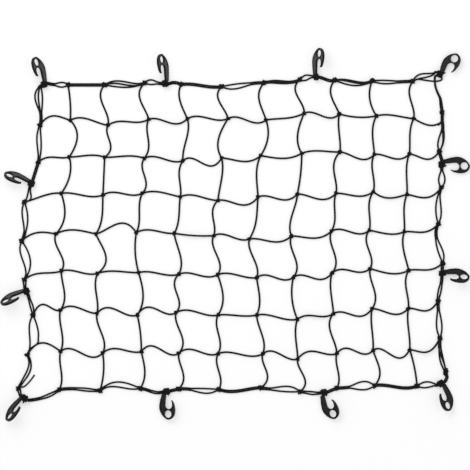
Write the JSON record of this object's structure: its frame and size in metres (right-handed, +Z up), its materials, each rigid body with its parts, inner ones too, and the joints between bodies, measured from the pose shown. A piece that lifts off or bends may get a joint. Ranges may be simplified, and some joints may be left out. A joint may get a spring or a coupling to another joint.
{
  "type": "cargo net",
  "caption": "Elastic cargo net of black shock cord knotted into square meshes, with a doubled cord border and moulded hooks lashed round the edge, lying flat.",
  "frame": {"origin": "middle of the overall outline, on the surface that the net lies on", "axes": "+X to the right along the long side, +Y to the top edge, +Z up from the surface"},
  "size_m": [1.4086, 1.1198, 0.0469],
  "materials": {
    "mesh_cord": "braided polyester sheath over rubber, matt black",
    "border_cord": "braided polyester sheath over rubber, matt black",
    "lashing_cord": "braided polyester sheath over rubber, wound tight, matt black",
    "hook_plastic": "satin moulded nylon, black"
  },
  "bodies": {
    "root": {"net_mesh": "mesh_cord", "border_top": "border_cord", "border_right": "border_cord", "border_bottom": "border_cord", "border_left": "border_cord", "hook_01": "hook_plastic", "hook_02": "hook_plastic", "hook_03": "hook_plastic", "hook_04": "hook_plastic", "hook_05": "hook_plastic", "hook_06": "hook_plastic", "hook_07": "hook_plastic", "hook_08": "hook_plastic", "hook_09": "hook_plastic", "hook_10": "hook_plastic", "hook_11": "hook_plastic", "hook_12": "hook_plastic", "lashing_01": "lashing_cord", "lashing_02": "lashing_cord", "lashing_03": "lashing_cord", "lashing_04": "lashing_cord", "lashing_05": "lashing_cord", "lashing_06": "lashing_cord", "lashing_07": "lashing_cord", "lashing_08": "lashing_cord", "lashing_09": "lashing_cord", "lashing_10": "lashing_cord", "lashing_11": "lashing_cord", "lashing_12": "lashing_cord", "cord_tail": "border_cord"}
  },
  "joints": []
}
